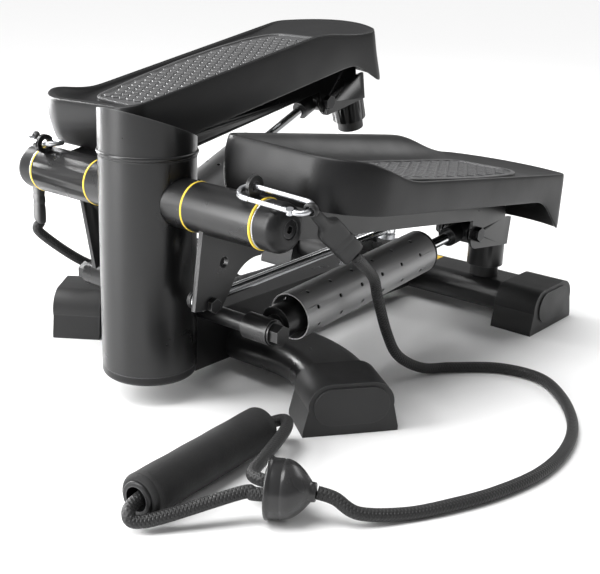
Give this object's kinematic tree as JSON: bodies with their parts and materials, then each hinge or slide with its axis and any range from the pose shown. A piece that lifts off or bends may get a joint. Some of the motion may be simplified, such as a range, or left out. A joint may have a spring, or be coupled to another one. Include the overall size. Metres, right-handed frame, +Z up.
{
  "type": "twin pedal stepper",
  "caption": "Low twin-pedal stepper: a round column on two floor bars, rocking pedals on hydraulic dampers, and a pull cord with a foam grip on each side.",
  "frame": {"origin": "on the floor under the axis of the column", "axes": "+Z up, +X to the left of a user who faces the column, -Y the column side, +Y towards the pedals' heel ends"},
  "size_m": [0.5106, 0.5825, 0.2743],
  "materials": {
    "black_paint": "satin powder coat",
    "black_plastic": "fine-grained moulded plastic",
    "black_rubber": "matt rubber",
    "bare_steel": "zinc plated",
    "chrome": "polished",
    "black_bolt": "black oxide",
    "grey_cover": "satin grey",
    "yellow_ring": "moulded nylon",
    "screen": "gloss",
    "board_green": "board lacquer",
    "cord_fabric": "tight braid",
    "grip_foam": "closed-cell foam",
    "label_yellow": "printed film"
  },
  "bodies": {
    "frame": {"column": "black_paint", "column_base_cap": "black_plastic", "console_housing": "black_paint", "display_window": "screen", "console_board": "board_green", "axle": "black_paint", "thrust_washers": "bare_steel", "axle_end_caps": "black_plastic", "axle_end_bolts": "black_bolt", "lower_shaft": "black_paint", "shaft_nuts": "black_paint", "main_beam": "black_paint", "front_crossbar": "black_paint", "rear_crossbar": "black_paint", "front_feet": "black_rubber", "rear_feet": "black_rubber", "rear_label": "label_yellow", "rocker_bolt": "bare_steel", "cords": "cord_fabric", "cord_stoppers": "black_rubber"},
    "reset_button": {"reset_button": "yellow_ring"},
    "rocker": {"rocker": "bare_steel"},
    "pedal_left": {"pedal_arm_left": "black_paint", "pedal_bushes_left": "yellow_ring", "pedal_tray_left": "black_plastic", "tread_pad_left": "black_rubber", "tray_bolts_left": "bare_steel", "bumper_left": "black_rubber", "pivot_bolts_left": "black_bolt"},
    "damper_left": {"damper_tube_left": "black_paint", "damper_cover_left": "grey_cover", "damper_gland_left": "black_plastic"},
    "damper_rod_left": {"damper_rod_left": "chrome", "damper_piston_left": "bare_steel", "rod_eye_left": "black_paint"},
    "link_left": {"link_left": "chrome"},
    "carabiner_left": {"carabiner_left": "bare_steel"},
    "carabiner_gate_left": {"carabiner_gate_left": "bare_steel"},
    "cord_cuff_left": {"cord_cuff_left": "black_rubber"},
    "grip_left": {"grip_core_left": "black_plastic", "grip_foam_left": "grip_foam"},
    "pedal_right": {"pedal_arm_right": "black_paint", "pedal_bushes_right": "yellow_ring", "pedal_tray_right": "black_plastic", "tread_pad_right": "black_rubber", "tray_bolts_right": "bare_steel", "bumper_right": "black_rubber", "pivot_bolts_right": "black_bolt"},
    "damper_right": {"damper_tube_right": "black_paint", "damper_cover_right": "grey_cover", "damper_gland_right": "black_plastic"},
    "damper_rod_right": {"damper_rod_right": "chrome", "damper_piston_right": "bare_steel", "rod_eye_right": "black_paint"},
    "link_right": {"link_right": "chrome"},
    "carabiner_right": {"carabiner_right": "bare_steel"},
    "carabiner_gate_right": {"carabiner_gate_right": "bare_steel"},
    "cord_cuff_right": {"cord_cuff_right": "black_rubber"},
    "grip_right": {"grip_core_right": "black_plastic", "grip_foam_right": "grip_foam"}
  },
  "joints": [
    {"name": "reset_button_press", "type": "slide", "parent": "frame", "child": "reset_button", "axis": [0, -0.3565, -0.9343], "range_m": [0, 0.0011]},
    {"name": "pedal_left_hinge", "type": "hinge", "parent": "frame", "child": "pedal_left", "pos_m": [0, 0, 0.165], "axis": [1, 0, 0], "range_deg": [0, 18]},
    {"name": "damper_left_pivot", "type": "hinge", "parent": "frame", "child": "damper_left", "pos_m": [0.096, 0.03, 0.07], "axis": [1, 0, 0], "range_deg": [0, 19]},
    {"name": "damper_left_rod_slide", "type": "slide", "parent": "damper_left", "child": "damper_rod_left", "axis": [0, 0.9965, 0.0835], "range_m": [0, 0.0315]},
    {"name": "link_left_pivot", "type": "hinge", "parent": "pedal_left", "child": "link_left", "pos_m": [0.06, -0.00214, 0.09219], "axis": [1, 0, 0], "range_deg": [-19, 0]},
    {"name": "carabiner_left_swing", "type": "hinge", "parent": "pedal_left", "child": "carabiner_left", "pos_m": [0.112, -0.00276, 0.19105], "axis": [1, 0, 0], "range_deg": [-8, 2]},
    {"name": "carabiner_gate_left_hinge", "type": "hinge", "parent": "carabiner_left", "child": "carabiner_gate_left", "pos_m": [0.15148, -0.01104, 0.18192], "axis": [-0.1539, 0.3035, -0.9403], "range_deg": [0, 22]},
    {"name": "cord_cuff_left_hinge", "type": "hinge", "parent": "carabiner_left", "child": "cord_cuff_left", "pos_m": [0.16238, -0.00144, 0.18323], "axis": [0.1307, -0.9371, -0.3238], "range_deg": [-14, 14]},
    {"name": "grip_left_spin", "type": "hinge", "parent": "frame", "child": "grip_left", "pos_m": [0.1395, -0.08, 0.0163], "axis": [-0.0837, 0.9965, 0], "continuous": true},
    {"name": "pedal_right_hinge", "type": "hinge", "parent": "frame", "child": "pedal_right", "pos_m": [0, 0, 0.165], "axis": [1, 0, 0], "range_deg": [-18, 0]},
    {"name": "damper_right_pivot", "type": "hinge", "parent": "frame", "child": "damper_right", "pos_m": [-0.096, 0.03, 0.07], "axis": [1, 0, 0], "range_deg": [-19, 0]},
    {"name": "damper_right_rod_slide", "type": "slide", "parent": "damper_right", "child": "damper_rod_right", "axis": [0, 0.9195, 0.3932], "range_m": [-0.0315, 0]},
    {"name": "link_right_pivot", "type": "hinge", "parent": "pedal_right", "child": "link_right", "pos_m": [-0.06, 0.02046, 0.0951], "axis": [1, 0, 0], "range_deg": [0, 19]},
    {"name": "carabiner_right_swing", "type": "hinge", "parent": "pedal_right", "child": "carabiner_right", "pos_m": [-0.112, -0.01067, 0.18892], "axis": [1, 0, 0], "range_deg": [-6, 6]},
    {"name": "carabiner_gate_right_hinge", "type": "hinge", "parent": "carabiner_right", "child": "carabiner_gate_right", "pos_m": [-0.14898, 0.00364, 0.18546], "axis": [-0.0808, 0.0326, 0.9962], "range_deg": [0, 22]},
    {"name": "cord_cuff_right_hinge", "type": "hinge", "parent": "carabiner_right", "child": "cord_cuff_right", "pos_m": [-0.15725, 0.01561, 0.18439], "axis": [0.3746, 0.9272, 0], "range_deg": [-14, 14]},
    {"name": "grip_right_spin", "type": "hinge", "parent": "frame", "child": "grip_right", "pos_m": [-0.08, 0.258, 0.0163], "axis": [0.0349, 0.9994, 0], "continuous": true},
    {"name": "rocker_swing", "type": "hinge", "parent": "frame", "child": "rocker", "pos_m": [0, 0.3, 0.081], "axis": [0, 0, 1], "range_deg": [0, 40.5]}
  ],
  "couplings": [
    {"joint": "pedal_right_hinge", "follows": "pedal_left_hinge", "ratio": -1},
    {"joint": "damper_left_pivot", "follows": "pedal_left_hinge", "ratio": 1.029},
    {"joint": "damper_right_pivot", "follows": "pedal_left_hinge", "ratio": -1.011},
    {"joint": "damper_left_rod_slide", "follows": "pedal_left_hinge", "m_per_rad": 0.09871},
    {"joint": "damper_right_rod_slide", "follows": "pedal_left_hinge", "m_per_rad": -0.09966},
    {"joint": "rocker_swing", "follows": "pedal_left_hinge", "ratio": 2.22},
    {"joint": "link_left_pivot", "follows": "pedal_left_hinge", "ratio": -1.025},
    {"joint": "link_right_pivot", "follows": "pedal_left_hinge", "ratio": 1.0385},
    {"joint": "cord_cuff_left_hinge", "follows": "carabiner_left_swing", "ratio": -1},
    {"joint": "cord_cuff_right_hinge", "follows": "carabiner_right_swing", "ratio": -1}
  ]
}
